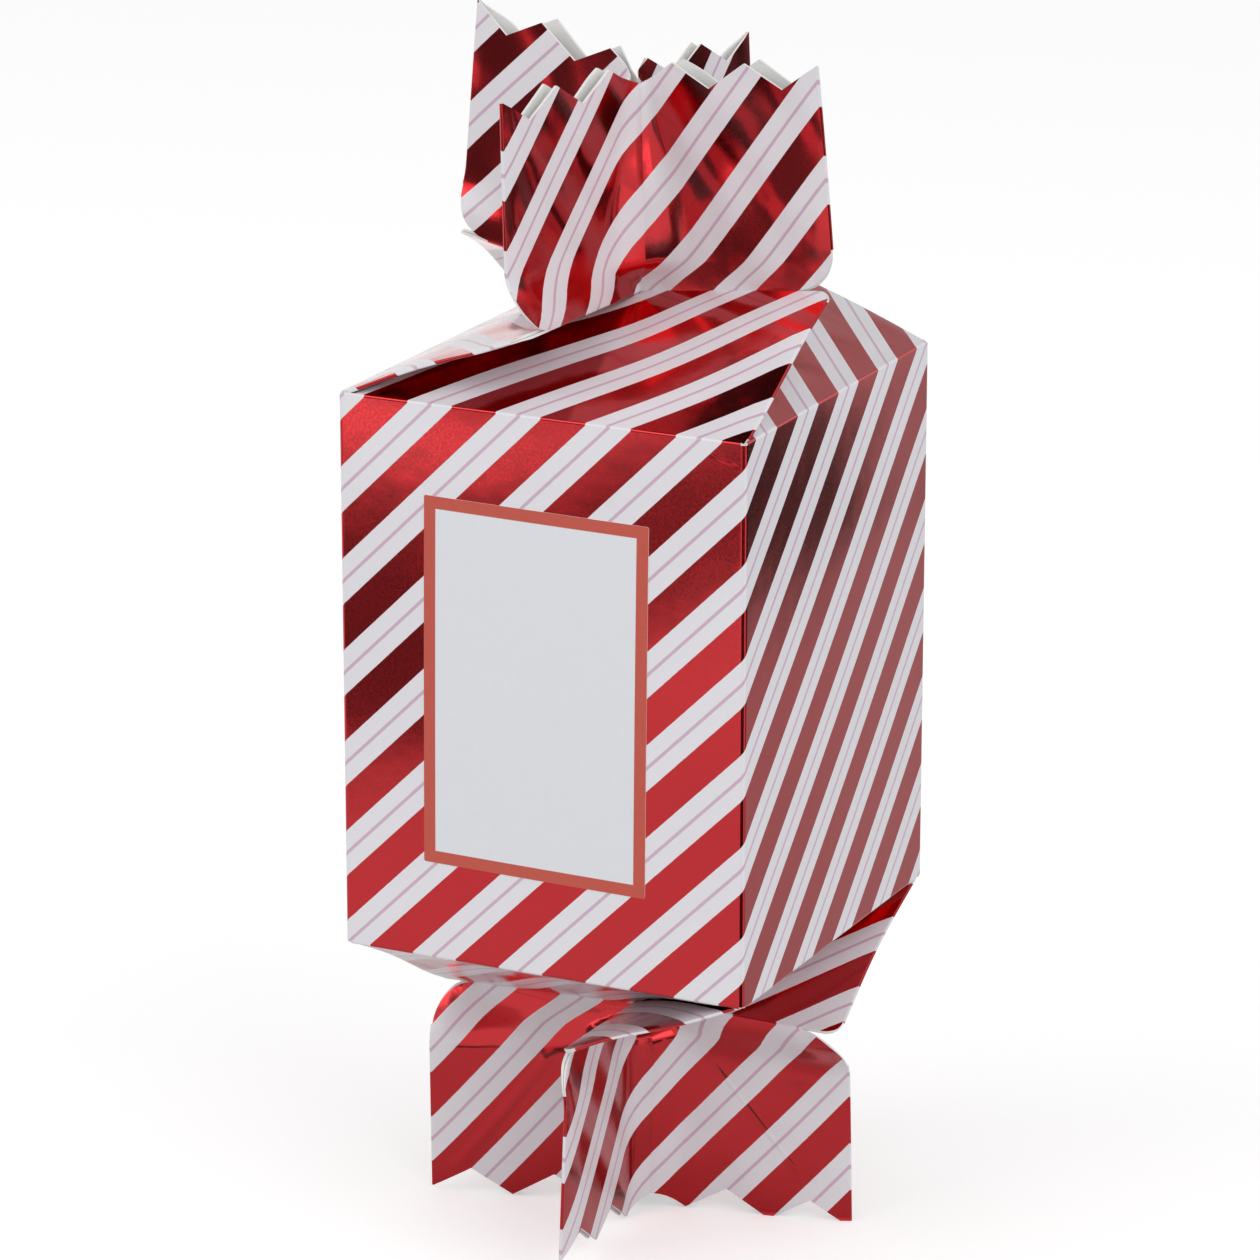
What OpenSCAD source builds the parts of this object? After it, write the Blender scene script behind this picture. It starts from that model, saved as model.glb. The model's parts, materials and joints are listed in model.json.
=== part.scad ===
// Square gift-box Christmas cracker of creased card.
// The tube is closed at both ends by a four-fold pinwheel twist, and beyond each
// neck the card stands out as a cross of four arms with a zigzag edge.
// The origin is in the middle of the plane that the lower frill stands on.
// +Z is up and the labelled front faces -Y.

/* [Card sleeve] */
// Outside width of each of the four sides
sleeve_w = 65; // [55:1:80]
// Height of the sleeve between its two end creases
sleeve_h = 84; // [80:1:110]
// Thickness of the printed card
card_t = 0.4; // [0.3:0.05:0.5]
// Outside radius of the four upright creases
crease_r = 1.2; // [0.8:0.1:2]
// Width of the glued seam flap inside the back panel
seam_w = 14; // [10:1:18]
// How far each end of the seam flap slants in
seam_taper = 4; // [2:0.5:6]

/* [Twisted ends] */
// Rise of the neck above the top of the sleeve
top_rise = 13.4; // [9:0.2:18]
// Drop of the neck below the foot of the sleeve
bottom_rise = 15.4; // [9:0.2:18]
// Height of the top frill from its neck crease to its peaks
top_frill = 34; // [26:0.5:44]
// Height of the bottom frill from its neck crease to its peaks
bottom_frill = 32.5; // [26:0.5:44]
// Teeth along the frill edge of each side of the card, an odd number
teeth = 5; // [3:2:9]
// Depth of a tooth
tooth_depth = 3.8; // [2:0.2:6]
// Radius of the die-cut corner at the foot of each frill arm
frill_corner_r = 6; // [3:0.5:8]
// Radius of the die-cut corner at the tip of each roof panel
roof_corner_r = 2.5; // [1:0.5:4]

/* [Gift label] */
// Width of the label
label_w = 36; // [20:1:38]
// Height of the label
label_h = 56; // [30:1:64]
// Thickness of the label paper
label_t = 0.1; // [0.08:0.01:0.2]
// Distance from the left edge of the front to the label
label_left = 13.4; // [5:0.2:16]
// Distance from the foot of the sleeve to the label
label_foot = 13.8; // [5:0.2:15]

/* [Snap] */
// Width of the two snap strips
snap_w = 6; // [4:0.5:8]
// Thickness of a snap strip
snap_t = 0.3; // [0.2:0.05:0.4]
// Length over which the two strips lie on each other
snap_overlap = 22; // [16:1:30]
// Distance from each end of the sleeve to the glued end of a strip
snap_end = 8; // [6:1:15]
// Distance from the middle of the back panel to the middle of the snap
snap_offset = 10; // [4:1:15]
// Length of the paper band round the overlap
band_len = 14; // [8:1:16]
// Thickness of the paper band
band_t = 0.15; // [0.1:0.05:0.2]

/* [Paper crown] */
// Width of the crown folded flat
crown_w = 48; // [30:1:50]
// Height of the crown to the tips of its points
crown_h = 44; // [30:1:55]
// Height of the points
crown_point_h = 11; // [6:1:16]
// Points that show on the folded crown
crown_points = 2; // [1:1:4]
// Layers of the folded crown, an even number
crown_layers = 6; // [2:2:8]
// Thickness of one layer of tissue
tissue_t = 0.2; // [0.1:0.05:0.3]

/* [Motto slip] */
// Outside radius of the curled slip
slip_r = 6; // [4:0.5:8]
// Width of the slip, which stands upright when curled
slip_h = 24; // [16:1:30]
// Thickness of the slip
slip_t = 0.15; // [0.1:0.05:0.2]
// Angle that the curl leaves open
slip_open = 60; // [20:5:120]

/* [Spinning top] */
// Radius of the turned disc
disc_r = 11; // [8:0.5:12]
// Height of the rim of the disc
disc_rim = 3; // [2:0.5:5]
// Thickness of the disc at its middle
disc_h = 8; // [7:0.5:10]
// Height of the disc's foot above the point of the spindle
disc_foot = 6; // [5.5:0.5:8]
// Radius of the spindle
spindle_r = 1.8; // [1.4:0.1:2.4]
// Length of the spindle
spindle_len = 28; // [22:1:32]
// Radius of the spindle's rounded point
point_r = 1.1; // [0.8:0.1:1.3]

/* [Fits] */
// Air between two layers of card folded on each other
layer_gap = 0.06; // [0.04:0.01:0.1]
// Air between two panels that meet at a crease
crease_gap = 0.05; // [0.03:0.01:0.08]
// Air under what lies loose in the box
rest_gap = 0.1; // [0.05:0.05:0.2]
// Running air round the spindle
spindle_gap = 0.04; // [0.02:0.01:0.08]

/* [Hidden] */
// Smoothness of round stretches
$fn = 64;
// Overrun of every cut
over = 1;
// The four sides, counted from the front towards +X
SIDE = ["front", "right", "back", "left"];
SIDES = [0:3];
// The two ends: 0 is the bottom, 1 is the top
END = ["bottom", "top"];
ENDS = [0:1];
PANELS = ["roof", "gusset", "frill", "wing"];

// Card from the middle of a folded arm to its printed face
arm_half = card_t + layer_gap / 2;
// Distance from the axis to the crease at the end of an arm
corner_x = sleeve_w / 2 - arm_half;
// Horizontal reach of a roof panel from its hinge to its neck crease
reach = corner_x - card_t;
// Height of the foot of the sleeve
sleeve_z = bottom_frill + bottom_rise;
// Half of the distance between two peaks of the zigzag
half_pitch = sleeve_w / teeth / 2;
// Inner face of the sleeve, from the axis
inner = sleeve_w / 2 - card_t;

function rise(e) = e == 1 ? top_rise : bottom_rise;
function frill_h(e) = e == 1 ? top_frill : bottom_frill;
// Length of the card between the sleeve crease and the neck crease
function fold_len(e) = sqrt(reach * reach + rise(e) * rise(e) - card_t * card_t);
// Slope of the closed roof panels
function slope(e) = atan(rise(e) / reach) - atan(card_t / fold_len(e));
// Where two neighbouring roofs cross: half width left at a height v up the card
function valley(e, v) = inner + card_t * sin(slope(e)) - v * cos(slope(e));
// Horizontal share of a step square to that crossing line
function valley_share(e) = sqrt(1 + cos(slope(e)) * cos(slope(e)));
// Card cut back under the neighbour so that roof, gusset and roof lie on each other
function tuck(e) = (2 * arm_half + layer_gap) * valley_share(e) / sin(acos(pow(cos(slope(e)), 2)));
// How far the wing's crease lies beyond the frill's on the card, and below it
function wing_shift(e) = (card_t + layer_gap) * (1 - sin(slope(e))) / cos(slope(e));
function wing_drop(e) = (card_t + layer_gap) * (1 / cos(slope(e)) - tan(slope(e)));
// The bottom end is the top end turned over about the Y axis, so its sides count backwards
function turn(e, k) = e == 1 ? k : (4 - k) % 4;

// Puts an end's own frame, with its neck towards +Z, on the sleeve
module on_end(e) {
    if (e == 1) translate([0, 0, sleeve_z + sleeve_h]) children();
    else translate([0, 0, sleeve_z]) rotate([0, 180, 0]) children();
}

// Lays flat card on the closed roof of one side: x along the hinge, y up the card
module on_roof(e, quarter) {
    rotate(90 * quarter) translate([0, -inner, 0]) rotate([slope(e), 0, 0]) children();
}

// Stands flat card up in an arm of the frill: x out along the arm, y up
module on_arm(e, quarter, foot) {
    rotate(90 * quarter) translate([0, 0, foot]) rotate([90, 0, 0]) children();
}

// Cuts the lower right or upper right corner of an outline to a radius
module rounded_corner(corner, r, up) {
    difference() {
        children();
        difference() {
            translate(corner - [r, up == 1 ? r : over]) square(r + over);
            translate(corner - [r, up * r]) circle(r);
        }
    }
}

// Height lost to the zigzag at a distance x from the axis
function notch(x) = tooth_depth * abs((x / half_pitch) % 2 - 1);

// Half of one side's frill: valley crease at the axis, peak at the corner crease
module frill_outline(h) {
    near = arm_half + crease_gap;
    far = corner_x - crease_gap;
    steps = concat([far], [for (i = [teeth - 1:-1:1]) i * half_pitch], [near]);
    rounded_corner([far, 0], frill_corner_r, -1)
        polygon(concat([[near, 0], [far, 0]], [for (x = steps) [x, h - notch(x)]]));
}

// Roof panel: slanted where it tucks under its neighbour, square at the corner crease
module roof_outline(e) {
    far = corner_x - crease_gap;
    low = crease_gap;
    high = fold_len(e) - crease_gap;
    rounded_corner([far, high], roof_corner_r, 1)
        polygon([
            [tuck(e) - valley(e, low), low],
            [far, low],
            [far, high],
            [tuck(e) - valley(e, high), high]
        ]);
}

// Gusset: from the corner crease to the valley crease under the roof
module gusset_outline(e) {
    near = arm_half + crease_gap;
    far = corner_x - crease_gap;
    low = crease_gap;
    high = fold_len(e) + wing_shift(e) - crease_gap;
    cut = tuck(e) - crease_gap * valley_share(e);
    bend = (valley(e, 0) - cut - near) / cos(slope(e));
    rounded_corner([far, low], crease_r, -1)
        rounded_corner([far, high], roof_corner_r, 1)
        polygon([
            [valley(e, low) - cut, low],
            [far, low],
            [far, high],
            [near, high],
            [near, bend]
        ]);
}

// Flat wall with the quarter-round crease at its right end
module wall_panel(k) {
    color("crimson")
    rotate(90 * k)
    translate([0, 0, sleeve_z])
    union() {
        translate([crease_r - sleeve_w / 2, -sleeve_w / 2, 0])
            cube([sleeve_w - 2 * crease_r, card_t, sleeve_h]);
        translate([sleeve_w / 2 - crease_r, crease_r - sleeve_w / 2, 0])
            rotate(-90)
            rotate_extrude(angle = 90)
            translate([crease_r - card_t, 0])
            square([card_t, sleeve_h]);
    }
}

// Tapered glue strip of the left panel, stuck to the inside of the back panel
module seam_flap() {
    color("white")
    translate([crease_r - sleeve_w / 2, inner, sleeve_z + seam_taper])
        rotate([90, 0, 0])
        linear_extrude(card_t)
        polygon([
            [0, 0],
            [seam_w, seam_taper],
            [seam_w, sleeve_h - 3 * seam_taper],
            [0, sleeve_h - 2 * seam_taper]
        ]);
}

// Blank paper label stuck on the front panel
module gift_label() {
    color("white")
    translate([label_left - sleeve_w / 2, -label_t - sleeve_w / 2, sleeve_z + label_foot])
        cube([label_w, label_t, label_h]);
}

// Closed roof panel of one side
module roof(e, k) {
    color("firebrick")
    on_end(e) on_roof(e, turn(e, k))
        linear_extrude(card_t) roof_outline(e);
}

// Gusset of one side, folded flat under the roof of the side before it
module gusset(e, k) {
    color("darkred")
    on_end(e) on_roof(e, turn(e, k) - 1)
        translate([0, 0, -layer_gap - card_t])
        linear_extrude(card_t) gusset_outline(e);
}

// Half of a frill side that its roof carries
module frill(e, k) {
    color("crimson")
    on_end(e) on_arm(e, turn(e, k), rise(e) + crease_gap)
        translate([0, 0, layer_gap / 2])
        linear_extrude(card_t) frill_outline(frill_h(e) - crease_gap);
}

// Half of a frill side that its gusset carries, at the back of the same arm
module wing(e, k) {
    color("indianred")
    on_end(e) on_arm(e, turn(e, k) - 1, rise(e) + crease_gap - wing_drop(e))
        translate([0, 0, -arm_half])
        linear_extrude(card_t) frill_outline(frill_h(e) + wing_drop(e) - crease_gap);
}

// One strip of the snap, stepped over what lies between it and the back panel in the overlap
module snap_strip(step) {
    far = sleeve_h / 2 - snap_end;
    near = -snap_overlap / 2;
    bend = snap_overlap / 2 + 2 * step;
    outline = [[far, 0], [bend, 0], [bend - 2 * step, step], [near, step]];
    back = [for (i = [len(outline) - 1:-1:0]) outline[i] + [0, snap_t]];
    translate([0, inner, sleeve_z + sleeve_h / 2])
        rotate([0, -90, 180])
        linear_extrude(snap_w, center = true)
        polygon(concat(outline, back));
}

// Upper strip, glued to the back panel at its top
module snap_strip_upper() {
    color("tan")
    translate([snap_offset, 0, 0]) snap_strip(band_t);
}

// Lower strip, glued to the back panel at its foot and lying over the upper one
module snap_strip_lower() {
    color("burlywood")
    translate([snap_offset, 0, 2 * sleeve_z + sleeve_h])
        mirror([0, 0, 1]) snap_strip(band_t + snap_t + layer_gap);
}

// Paper band that holds the two strips together
module snap_band() {
    hole_w = snap_w + 2 * layer_gap;
    hole_t = 2 * snap_t + 2 * layer_gap;
    color("orangered")
    translate([snap_offset, inner - band_t, sleeve_z + sleeve_h / 2])
    difference() {
        translate([-hole_w / 2 - band_t, -hole_t - band_t, -band_len / 2])
            cube([hole_w + 2 * band_t, hole_t + 2 * band_t, band_len]);
        translate([-hole_w / 2, -hole_t, -band_len / 2 - over])
            cube([hole_w, hole_t, band_len + 2 * over]);
    }
}

// Tissue crown folded to and fro, standing against the left panel
module paper_crown() {
    pitch = 2 * tissue_t;
    deep = crown_layers * pitch - tissue_t;
    point_w = crown_w / crown_points;
    color("gold")
    translate([-inner, -crown_w / 2, sleeve_z + rest_gap])
    intersection() {
        difference() {
            cube([deep, crown_w, crown_h]);
            for (i = [1:crown_layers - 1])
                translate([i * pitch - tissue_t, (i % 2) * tissue_t - (1 - i % 2) * over, -over])
                    cube([tissue_t, crown_w - tissue_t + over, crown_h + 2 * over]);
        }
        translate([-over, 0, 0])
            rotate([90, 0, 90])
            linear_extrude(deep + 2 * over)
            polygon(concat(
                [[0, 0], [crown_w, 0]],
                [for (i = [2 * crown_points:-1:0])
                    [i * point_w / 2, crown_h - (1 - i % 2) * crown_point_h]]
            ));
    }
}

// Curled slip of paper standing against the front panel
module motto_slip() {
    color("ivory")
    translate([-sleeve_w / 5, slip_r + rest_gap - inner, sleeve_z + rest_gap])
        rotate(slip_open / 2 + 45)
        rotate_extrude(angle = 360 - slip_open)
        translate([slip_r - slip_t, 0])
        square([slip_t, slip_h]);
}

// Height of the centre of the spindle's round point, which rests in the bottom neck
point_z = sleeve_z - rise(0) - arm_half * tan(slope(0))
    + (card_t + arm_half + layer_gap / 2 + rest_gap + point_r) / cos(slope(0));

// Turned disc of the spinning top
module spinning_top_disc() {
    hub_r = disc_r / 2;
    side = (disc_h - disc_rim) / 2;
    color("seagreen")
    translate([0, 0, point_z - point_r + disc_foot])
        rotate_extrude()
        polygon([
            [spindle_r + spindle_gap, 0],
            [hub_r, 0],
            [disc_r, side],
            [disc_r, side + disc_rim],
            [hub_r, disc_h],
            [spindle_r + spindle_gap, disc_h]
        ]);
}

// Spindle of the spinning top: round point, slight taper, round head
module spinning_top_spindle() {
    color("burlywood")
    translate([0, 0, point_z])
        rotate_extrude()
        intersection() {
            union() {
                circle(point_r);
                polygon([
                    [0, 0],
                    [point_r, 0],
                    [spindle_r, disc_foot / 2],
                    [spindle_r, spindle_len - point_r - spindle_r],
                    [0, spindle_len - point_r - spindle_r]
                ]);
                translate([0, spindle_len - point_r - spindle_r]) circle(spindle_r);
            }
            translate([0, -point_r]) square([spindle_r, spindle_len]);
        }
}

for (k = SIDES) wall_panel(k);
seam_flap();
gift_label();
for (e = ENDS) for (k = SIDES) {
    roof(e, k);
    gusset(e, k);
    frill(e, k);
    wing(e, k);
}
snap_strip_upper();
snap_strip_lower();
snap_band();
paper_crown();
motto_slip();
spinning_top_disc();
spinning_top_spindle();
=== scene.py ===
import json
import math

import bmesh
import bpy
import numpy as np
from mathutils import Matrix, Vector
from mathutils.geometry import delaunay_2d_cdt
from mathutils.noise import noise as perlin


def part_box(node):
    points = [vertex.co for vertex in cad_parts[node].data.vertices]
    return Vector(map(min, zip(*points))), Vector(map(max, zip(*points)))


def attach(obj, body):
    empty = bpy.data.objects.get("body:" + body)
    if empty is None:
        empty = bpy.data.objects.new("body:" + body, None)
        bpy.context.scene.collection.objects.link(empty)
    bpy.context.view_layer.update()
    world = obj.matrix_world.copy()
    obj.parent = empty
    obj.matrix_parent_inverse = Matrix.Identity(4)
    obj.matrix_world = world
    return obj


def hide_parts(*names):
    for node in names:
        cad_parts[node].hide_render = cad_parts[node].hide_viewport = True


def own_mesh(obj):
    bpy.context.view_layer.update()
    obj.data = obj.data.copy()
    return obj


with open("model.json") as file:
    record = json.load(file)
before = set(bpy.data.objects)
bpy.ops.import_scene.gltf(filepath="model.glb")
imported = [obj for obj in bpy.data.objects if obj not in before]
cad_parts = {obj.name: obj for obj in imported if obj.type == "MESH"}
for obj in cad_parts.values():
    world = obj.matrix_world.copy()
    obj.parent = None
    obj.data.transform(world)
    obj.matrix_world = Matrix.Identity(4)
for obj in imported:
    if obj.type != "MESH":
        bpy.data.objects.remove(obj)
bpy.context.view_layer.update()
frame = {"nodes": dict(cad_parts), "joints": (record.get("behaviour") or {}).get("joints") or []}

# ------------------------------------------------------------------ camera
AZ, EL = math.radians(25.92), math.radians(17.12)
TARGET, DISTANCE = Vector((-0.00136, 0.0, 0.0914)), 0.9
FOCAL_PX, FRAME_PX, SENSOR_MM = 6038.7, 1260, 36.0
OUT = Vector((math.sin(AZ) * math.cos(EL), -math.cos(AZ) * math.cos(EL), math.sin(EL)))
cam_data = bpy.data.cameras.new("camera")
cam_data.sensor_width = SENSOR_MM
cam_data.lens = FOCAL_PX / FRAME_PX * SENSOR_MM
cam_data.clip_start = 0.05
camera = bpy.data.objects.new("camera", cam_data)
bpy.context.scene.collection.objects.link(camera)
camera.location = TARGET + OUT * DISTANCE
camera.rotation_euler = (-OUT).to_track_quat("-Z", "Y").to_euler()
bpy.context.scene.camera = camera

# ------------------------------------------------- the CAD model's own sizes, mm
# Side and height of the sleeve, thickness of the card, gap between two layers
W, H, T, G = 65.0, 84.0, 0.4, 0.06
CREASE_R = 1.2  # corner creases of the solids
EDGE_R = 0.6    # corner creases of the printed sleeve, which are crisper
# Height of each neck and of each frill. Pairs for the two ends have the bottom end first.
RISE, FRILL = (15.4, 13.4), (32.5, 34.0)
# Teeth on one side of a frill and their depth; rounded corners of frills and of roofs
TEETH, TOOTH, FRILL_R, ROOF_R = 5, 3.8, 6.0, 2.5
ARM = T + G / 2       # half the thickness of a folded arm
CORNER = W / 2 - ARM  # the crease at the end of an arm
REACH = CORNER - T
INNER = W / 2 - T     # the inside face of a panel of the sleeve
FOOT = FRILL[0] + RISE[0]
# Length of a roof from the sleeve to its neck, and its slope
FOLD = [math.sqrt(REACH**2 + r * r - T * T) for r in RISE]
PHI = [math.atan(RISE[e] / REACH) - math.atan(T / FOLD[e]) for e in (0, 1)]
SIN, COS = [math.sin(p) for p in PHI], [math.cos(p) for p in PHI]
# Where a roof crosses its neighbour's gusset; the gusset lies one layer farther in, so it is
# longer by SHIFT and its neck crease lower by DROP
SHARE = [math.sqrt(1 + c * c) for c in COS]
TUCK = [(2 * ARM + G) * SHARE[e] / math.sin(math.acos(COS[e] ** 2)) for e in (0, 1)]
SHIFT = [(T + G) * (1 - SIN[e]) / COS[e] for e in (0, 1)]
DROP = [(T + G) * (1 / COS[e] - math.tan(PHI[e])) for e in (0, 1)]
SIDES = ("front", "right", "back", "left")
ENDS = ("bottom", "top")


def valley(e, v):
    """Where the valley crease lies, v up the slope of a roof."""
    return INNER + T * SIN[e] - v * COS[e]


def turn(e, k):
    """Quarter turns that bring side k of an end into place."""
    return k if e == 1 else (4 - k) % 4


# --------------------------------------------------- shape helpers, all in mm
def smooth(t):
    t = np.clip(t, 0.0, 1.0)
    return t * t * (3 - 2 * t)


def rotated(p, j):
    x, y = p[:, 0].copy(), p[:, 1].copy()
    c, s = ((1, 0), (0, 1), (-1, 0), (0, -1))[j % 4]
    return np.column_stack([c * x - s * y, s * x + c * y, p[:, 2]])


def on_end(e, p):
    """From an end's own frame, with its frill upward, to the frame of the part."""
    if e == 1:
        return p + np.array([0, 0, FOOT + H])
    return np.column_stack([-p[:, 0], p[:, 1], FOOT - p[:, 2]])


# The hand-folded look of each end. Arms count from the end frame's +X anticlockwise.
# Degrees turned at the neck crease, just above it and at the edge; millimetres that the
# neck lies higher at the axis and at the arm's tip; degrees that the arm leans inward.
ARMS = (
    ((-7.0, -17.8, -16.2, 0.2, -0.2, 0.2), (-7.0, -14.0, -14.0, 0.0, 0.0, 0.0),
     (-5.0, -17.1, -12.9, -0.5, 1.4, -2.0), (-5.0, -7.0, -5.1, 0.4, -2.8, -0.9)),
    ((-2.5, -2.5, -12.3, -1.6, 2.1, 0.0), (-5.0, -7.0, -10.0, -1.4, -1.5, 7.5),
     (-6.0, -9.7, -13.8, -1.3, 3.9, 2.6), (-4.0, -9.6, -8.9, -1.3, -1.5, -3.0)),
)
# Millimetres that the two layers of each arm part at its edge: the roof's, the gusset's
PARTED = (((0.4, 0.8), (0.5, 0.5), (0.8, 0.4), (0.5, 0.3)),
          ((0.2, 3.0), (0.2, 1.5), (3.0, 0.2), (1.3, 0.2)))
# An arm's look reaches this many degrees to each side and fades over the second number
SPREAD, FADE = 78.0, 66.0
FREE = 9.0    # millimetres above the neck where an arm stands free of it
TIP_R = 32.0  # from the axis to an arm's tip


def warp(e, p):
    """Turn, lift and lean the folded end as the hand left it."""
    x, y, z = p.T
    r, a = np.hypot(x, y), np.degrees(np.arctan2(y, x))
    h = np.clip(z - RISE[e], 0, None)
    neck, free, up = smooth(z / RISE[e]), smooth(h / FREE), h / FRILL[e]
    angle, lift, lean, total = (np.zeros(len(p)) for _ in range(4))
    for j, (crease, low, high, z_axis, z_tip, tilt) in enumerate(ARMS[e]):
        away = np.abs((a - 90 * j + 180) % 360 - 180)
        share = smooth((SPREAD - away) / FADE)
        angle += share * (crease * neck + (low - crease) * free + (high - low) * up)
        lift += share * (z_axis + (z_tip - z_axis) * np.clip(r / TIP_R, 0, 1.05)) * neck
        lean += share * h * math.sin(math.radians(tilt))
        total += share
    total = np.maximum(total, 1e-6)
    angle = np.radians(angle / total)
    c, s = np.cos(angle), np.sin(angle)
    shrink = 1 - lean / total / np.maximum(r, 4)
    return np.column_stack([(c * x - s * y) * shrink, (s * x + c * y) * shrink, z + lift / total])


def finish_point(e, j, p):
    """From the frame of arm j to the frame of the part."""
    return on_end(e, warp(e, rotated(p, j)))


# A sharp crease squeezes the card by this share, over this many millimetres
SQUEEZE, SQUEEZED = 0.45, 1.6
TIGHT = G / 2 + T * (1 - SQUEEZE)


def pressed(x):
    """Share of the card's thickness left where a sharp crease squeezes it."""
    return 1 - SQUEEZE * smooth((x - CORNER + SQUEEZED) / SQUEEZED)


def roof_map(e, j):
    def place(x, v, w):
        w = np.where(w >= 0, w * pressed(x), -G + (w + G) * pressed(x))
        p = np.column_stack([x, -INNER + v * COS[e] - w * SIN[e], v * SIN[e] + w * COS[e]])
        return finish_point(e, j, p)
    return place


def notch(x):
    """Depth of the zigzag edge at x."""
    return TOOTH * np.abs((x / (W / TEETH / 2)) % 2 - 1)


# Radius of the soft fold at the axis: in the neck crease, in full and at the frill's edge
NECK_R, FULL_R, RIM_R = 0.05, (9.5, 9.0), (6.0, 2.6)


def valley_radius(e, h):
    """Radius of the soft fold at the axis, where the card cuts its corner."""
    h = np.clip(h, 0, None)
    widened = (FULL_R[e] - NECK_R) * smooth(h / 5)
    return NECK_R + widened + (RIM_R[e] - FULL_R[e]) * smooth((h - 6) / (FRILL[e] - 6))


def soft_fold(e, x, h):
    """How far a frill bends out of its plane near the axis, and the card's length up to x."""
    r = valley_radius(e, h)
    d = x - ARM
    mid = (1 - math.sqrt(0.5)) * r
    on_arc = np.clip((d - r) / r, -math.sqrt(0.5), 0)
    bend = r - r * np.sqrt(1 - on_arc**2)
    bend = np.where(d < mid, mid + 0.3 * (mid - d), np.where(d > r, 0, bend))
    arc_len = r * (3 * math.pi / 4 - np.arccos(on_arc))
    full = CORNER - ARM
    rest = (full - math.pi / 4 * r) / (full - r)
    beyond = math.pi / 4 * r + (d - r) * rest
    length = np.where(d < mid, (d - mid) * math.sqrt(2), np.where(d > r, beyond, arc_len))
    return bend, length + ARM


def parted(e, j, x, h, layer):
    """How far a layer of an arm springs away from its fellow."""
    wide = PARTED[e][j % 4][layer]
    up = np.clip(h / FRILL[e], 0, 1)
    return wide * up**1.6 * smooth((CORNER - x) / 5.5) * smooth((x - ARM) / 9)


def frill_map(e, j):
    def place(x, h, y):
        y = -G / 2 + (y + G / 2) * pressed(x)
        d = soft_fold(e, x, h)[0] + parted(e, j, x, h, 0)
        return finish_point(e, j, np.column_stack([x, y - d, RISE[e] + h]))
    return place


def wing_map(e, j):
    def place(x, h, y):
        y = G / 2 + (y - G / 2) * pressed(x)
        d = soft_fold(e, x, h - DROP[e])[0] + parted(e, j, x, h, 1)
        return finish_point(e, j, np.column_stack([x, y + d, RISE[e] - DROP[e] + h]))
    return place


# Scale of the print along the sheet, on the roofs and on the frills
ROOF_PRINT, FRILL_PRINT = (0.93, 0.95), (0.95, 0.955)


def sheet_roof(e, k, folded):
    """Place on the flat printed card of a point of a roof (or gusset) given by x and v."""
    def at(x, v):
        v = np.where(v < FOLD[e], v * ROOF_PRINT[e],
                     FOLD[e] * ROOF_PRINT[e] + (v - FOLD[e]) * FRILL_PRINT[e])
        u = CORNER - x if folded else x + W / 2
        if e == 0:
            u = W - u
        u = u + W * (k if k < 3 else -1)
        return u, (-v if e == 1 else H + v)
    return at


def sheet_frill(e, k, folded):
    """The same for a frill (or wing), h above its neck crease."""
    base = FOLD[e] + (SHIFT[e] if folded else 0)
    at = sheet_roof(e, k, folded)
    middle, stretch = (W / 2 + CORNER) / 2, (W / 2 + CORNER) / 2 / (CORNER - ARM)

    def place(x, h):
        length = (soft_fold(e, x, h - (DROP[e] if folded else 0))[1] - ARM) * stretch
        if folded:
            slip = (SHIFT[e] + DROP[e]) * smooth(h / 8) * (1 - smooth((x - ARM) / 14))
            return at(CORNER - middle + length, base + h - slip)
        return at(middle - W / 2 + length, base + h)
    return place


def shortfall(e, j, x):
    """How much card the turned neck hides at x, so that an opened end shows no gap there."""
    x = np.atleast_1d(np.asarray(x, float))
    flat = np.column_stack([x, 0 * x - ARM, 0 * x + RISE[e]])
    moved = rotated(warp(e, rotated(flat, j)), -j) - flat
    return moved[:, 2] - (moved[:, 1] * COS[e] + moved[:, 2] * SIN[e])


def dense(points, step):
    """A closed outline with points no farther apart than the step."""
    out = []
    for i, a in enumerate(points):
        b = points[(i + 1) % len(points)]
        n = max(1, int(math.ceil(math.dist(a, b) / step)))
        out += [(a[0] + (b[0] - a[0]) * t / n, a[1] + (b[1] - a[1]) * t / n) for t in range(n)]
    return out


def arc(cx, cy, r, a0, a1, n=10):
    """Points along an arc between two angles in degrees."""
    return [
        (cx + r * math.cos(math.radians(a0 + (a1 - a0) * i / n)),
         cy + r * math.sin(math.radians(a0 + (a1 - a0) * i / n)))
        for i in range(n + 1)
    ]


def inside(poly, pts):
    """Which of the points lie inside the polygon."""
    hit = np.zeros(len(pts), bool)
    a = np.array(poly)
    b = np.roll(a, -1, axis=0)
    for (x0, y0), (x1, y1) in zip(a, b):
        if y0 == y1:
            continue
        cross = (y0 > pts[:, 1]) != (y1 > pts[:, 1])
        hit ^= cross & (pts[:, 0] < (x1 - x0) * (pts[:, 1] - y0) / (y1 - y0) + x0)
    return hit


def valley_lines(e, drop, high):
    """Points along the soft fold at the axis, so that both sheets meet in one smooth line."""
    out = []
    for h in np.arange(0.4, high, 0.7):
        r = float(valley_radius(e, h - drop))
        mid = (1 - math.sqrt(0.5)) * r
        row = [ARM + mid + (r - mid) * f for f in (0.0, 0.2, 0.4, 0.6, 0.8, 1.0)]
        out += [(x, float(h)) for i, x in enumerate(row) if r > 2 or i in (0, 3, 5)]
    return out


def distance_to(others, points):
    """Distance from each point to the nearest of the others."""
    return np.array([np.min(np.hypot(*(others - p).T)) for p in points])


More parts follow.
